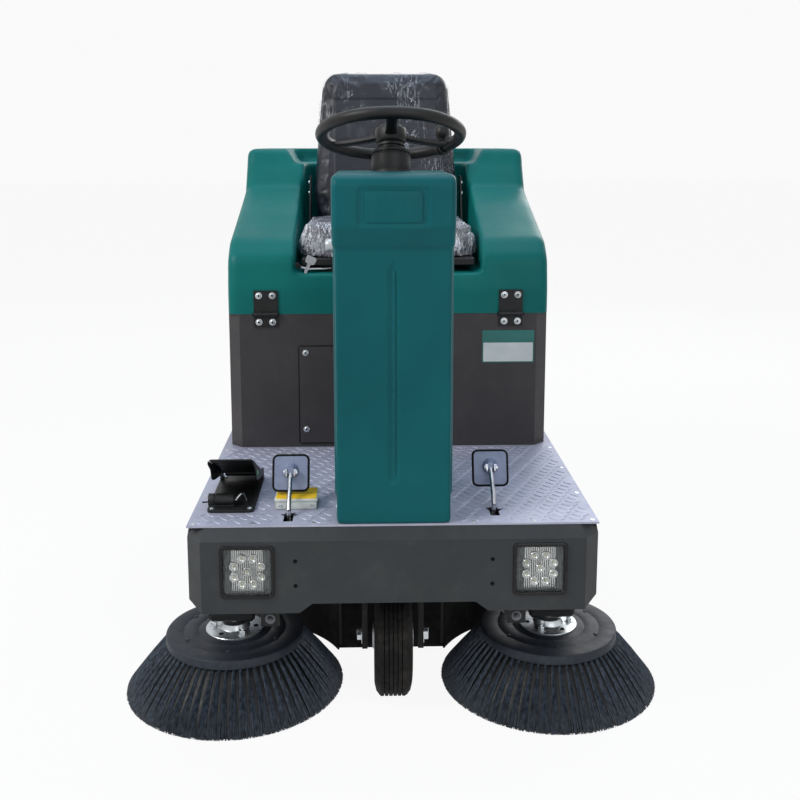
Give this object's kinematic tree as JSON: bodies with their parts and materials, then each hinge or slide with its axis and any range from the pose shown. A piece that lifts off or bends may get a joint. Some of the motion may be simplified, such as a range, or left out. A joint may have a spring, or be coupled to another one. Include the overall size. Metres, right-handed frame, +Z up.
{
  "type": "ride-on sweeper",
  "caption": "Ride-on floor sweeper with a steered front wheel, lifting side brushes, main broom, drawer hopper, tilting seat cover, pedals and column steering.",
  "frame": {"origin": "on the floor, at the middle of the object's own box", "axes": "+Z up, +Y rearward along the machine, so the front bumper faces -Y and the operator's left hand is at +X"},
  "size_m": [1.198, 1.49, 1.4385],
  "materials": {
    "teal": "moulded rotationally, satin teal",
    "graphite": "satin dark grey powder coat",
    "body_grey": "textured grey powder coat",
    "checker_aluminium": "bright five-bar tread plate",
    "steel": "bright zinc-plated or machined steel",
    "black_plastic": "black moulded plastic, fine grain",
    "black_metal": "black paint, satin",
    "rubber": "black rubber",
    "tyre": "solid black tyre",
    "bristle": "dark blue-grey nylon bristle tufts",
    "vinyl": "dark navy vinyl",
    "lamp": "black lamp housing"
  },
  "bodies": {
    "chassis": {"accelerator_base": "black_metal", "access_panel": "body_grey", "battery_pack": "black_plastic", "body_front_panel": "body_grey", "body_rear_panel": "body_grey", "body_side_left": "body_grey", "body_side_right": "body_grey", "broom_housing": "black_metal", "column_cover": "teal", "dash_panel": "black_plastic", "deck_plate": "checker_aluminium", "frame_crossmember": "graphite", "frame_rail_left": "graphite", "frame_rail_right": "graphite", "front_bumper": "graphite", "front_skirt": "rubber", "headlamp_left": "lamp", "headlamp_right": "lamp", "hinge_lower_left": "black_metal", "hinge_lower_right": "black_metal", "key_switch": "black_plastic", "rear_axle_left": "graphite", "rear_axle_right": "graphite", "rear_bumper": "graphite", "steering_jacket": "black_plastic", "steering_support": "black_metal", "suction_fan": "black_plastic"},
    "cover": {"upper_cover": "teal", "hinge_upper_left": "black_metal", "hinge_upper_right": "black_metal", "seat_track": "black_metal"},
    "seat": {"seat_pan": "black_metal", "seat_cushion": "vinyl", "seat_back": "vinyl"},
    "steering_wheel_body": {"steering_wheel": "black_plastic", "steering_shaft": "steel"},
    "horn": {"horn_button": "black_plastic"},
    "knob": {"spinner_knob": "black_plastic"},
    "fork": {"steer_fork": "black_metal"},
    "front_wheel": {"front_hub": "steel", "front_tyre": "tyre"},
    "rear_wheel_left": {"rear_left_hub": "steel", "rear_left_tyre": "tyre"},
    "rear_wheel_right": {"rear_right_hub": "steel", "rear_right_tyre": "tyre"},
    "brush_carrier_left": {"brush_arm_left": "black_metal", "brush_motor_left": "black_metal"},
    "brush_carrier_right": {"brush_arm_right": "black_metal", "brush_motor_right": "black_metal"},
    "side_brush_left": {"brush_disc_left": "black_plastic", "brush_bristles_left": "bristle"},
    "side_brush_right": {"brush_disc_right": "black_plastic", "brush_bristles_right": "bristle"},
    "broom": {"main_broom": "bristle"},
    "flap": {"broom_flap": "rubber"},
    "hopper": {"dust_hopper": "black_metal"},
    "brake": {"brake_pedal": "steel"},
    "flap_lever": {"flap_pedal": "steel"},
    "accelerator": {"accelerator_treadle": "black_metal"},
    "key": {"ignition_key": "steel"}
  },
  "joints": [
    {"name": "steering_turn", "type": "hinge", "parent": "chassis", "child": "steering_wheel_body", "pos_m": [0, -0.425, 1.231], "axis": [0, 0.2924, 0.9563], "range_deg": [-180, 180]},
    {"name": "horn_press", "type": "slide", "parent": "steering_wheel_body", "child": "horn", "axis": [0, -0.2924, -0.9563], "range_m": [0, 0.003], "stiffness_N_per_m": 400, "springref_m": -0.003},
    {"name": "knob_spin", "type": "hinge", "parent": "steering_wheel_body", "child": "knob", "pos_m": [0.11938, -0.3358, 1.20373], "axis": [0, 0.2924, 0.9563], "continuous": true},
    {"name": "fork_steer", "type": "hinge", "parent": "chassis", "child": "fork", "pos_m": [0, -0.545, 0.4357], "axis": [0, 0, 1], "range_deg": [-60, 60]},
    {"name": "front_wheel_spin", "type": "hinge", "parent": "fork", "child": "front_wheel", "pos_m": [0, -0.545, 0.13], "axis": [1, 0, 0], "continuous": true},
    {"name": "rear_wheel_left_spin", "type": "hinge", "parent": "chassis", "child": "rear_wheel_left", "pos_m": [0.352, 0.475, 0.14], "axis": [1, 0, 0], "continuous": true},
    {"name": "rear_wheel_right_spin", "type": "hinge", "parent": "chassis", "child": "rear_wheel_right", "pos_m": [-0.352, 0.475, 0.14], "axis": [1, 0, 0], "continuous": true},
    {"name": "brush_left_lift", "type": "hinge", "parent": "chassis", "child": "brush_carrier_left", "pos_m": [0.32, -0.285, 0.405], "axis": [-1, 0, 0], "range_deg": [0, 12]},
    {"name": "brush_right_lift", "type": "hinge", "parent": "chassis", "child": "brush_carrier_right", "pos_m": [-0.32, -0.285, 0.405], "axis": [-1, 0, 0], "range_deg": [0, 12]},
    {"name": "brush_left_spin", "type": "hinge", "parent": "brush_carrier_left", "child": "side_brush_left", "pos_m": [0.356, -0.502, 0.13], "axis": [0, 0, 1], "continuous": true},
    {"name": "brush_right_spin", "type": "hinge", "parent": "brush_carrier_right", "child": "side_brush_right", "pos_m": [-0.356, -0.502, 0.13], "axis": [0, 0, 1], "continuous": true},
    {"name": "main_broom_spin", "type": "hinge", "parent": "chassis", "child": "broom", "pos_m": [0, 0.075, 0.138], "axis": [1, 0, 0], "continuous": true},
    {"name": "flap_lift", "type": "hinge", "parent": "chassis", "child": "flap", "pos_m": [0, -0.0965, 0.096], "axis": [-1, 0, 0], "range_deg": [0, 45]},
    {"name": "cover_tilt", "type": "hinge", "parent": "chassis", "child": "cover", "pos_m": [0, -0.1413, 0.787], "axis": [1, 0, 0], "range_deg": [0, 40]},
    {"name": "seat_slide", "type": "slide", "parent": "cover", "child": "seat", "axis": [0, 1, 0], "range_m": [-0.05, 0.015]},
    {"name": "hopper_slide", "type": "slide", "parent": "chassis", "child": "hopper", "axis": [0, 1, 0], "range_m": [0, 0.35]},
    {"name": "brake_press", "type": "hinge", "parent": "chassis", "child": "brake", "pos_m": [-0.2195, -0.632, 0.405], "axis": [1, 0, 0], "range_deg": [0, 20], "stiffness_Nm_per_rad": 8, "springref_deg": -8.59},
    {"name": "flap_pedal_press", "type": "hinge", "parent": "chassis", "child": "flap_lever", "pos_m": [0.2147, -0.61, 0.405], "axis": [1, 0, 0], "range_deg": [0, 20], "stiffness_Nm_per_rad": 8, "springref_deg": -8.59},
    {"name": "accelerator_press", "type": "hinge", "parent": "chassis", "child": "accelerator", "pos_m": [-0.345, -0.4, 0.46], "axis": [1, 0, 0], "range_deg": [0, 16], "stiffness_Nm_per_rad": 8, "springref_deg": -20.05},
    {"name": "ignition_key_turn", "type": "hinge", "parent": "chassis", "child": "key", "pos_m": [-0.1441, -0.505, 0.998], "axis": [-1, 0, 0], "range_deg": [0, 90]}
  ],
  "couplings": [
    {"joint": "fork_steer", "follows": "steering_turn", "ratio": 0.33333},
    {"joint": "brush_right_lift", "follows": "brush_left_lift", "ratio": 1},
    {"joint": "flap_lift", "follows": "flap_pedal_press", "ratio": 2.25}
  ]
}
